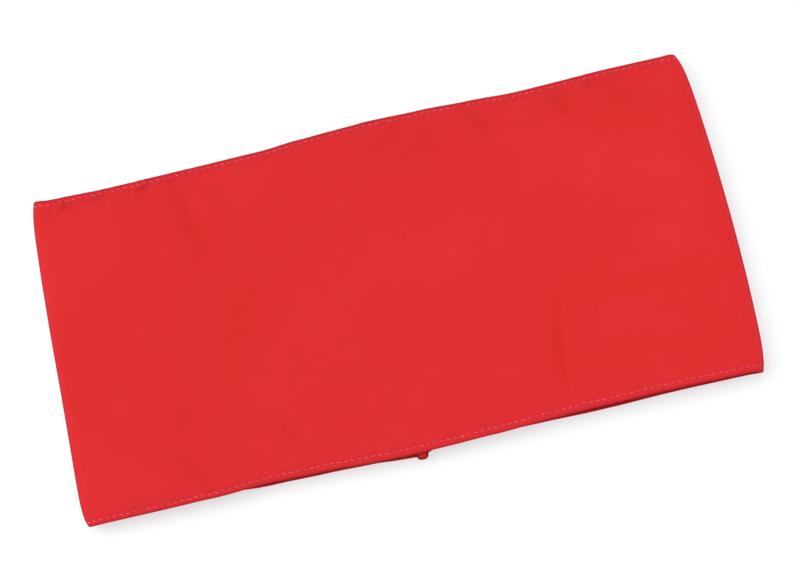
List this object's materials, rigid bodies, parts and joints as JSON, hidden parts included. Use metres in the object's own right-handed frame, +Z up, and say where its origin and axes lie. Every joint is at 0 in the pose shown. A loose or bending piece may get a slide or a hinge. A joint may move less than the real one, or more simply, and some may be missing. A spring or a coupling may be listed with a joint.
{
  "type": "plain cloth armband",
  "caption": "Plain red cotton armband, a hemmed cloth tube lying flat, with one seam down the middle of its back.",
  "frame": {"origin": "centre of the base, on the surface that the armband lies on", "axes": "+X from the left fold to the right fold, +Y from the near hem to the far hem, +Z up out of the front panel"},
  "size_m": [0.215, 0.1078, 0.0083],
  "materials": {
    "red_cotton": "plain-woven dyed cotton, matt, with a faint sheen on the folds",
    "red_cotton_hem": "plain-woven dyed cotton, turned twice and pressed",
    "red_cotton_inside": "plain-woven dyed cotton, cut and pressed flat",
    "sewing_thread": "twisted cotton sewing thread, faded to a pale red"
  },
  "bodies": {
    "root": {"band": "red_cotton", "near_hem": "red_cotton_hem", "far_hem": "red_cotton_hem", "back_seam": "red_cotton_inside", "seam_tab": "red_cotton_inside"}
  },
  "joints": []
}
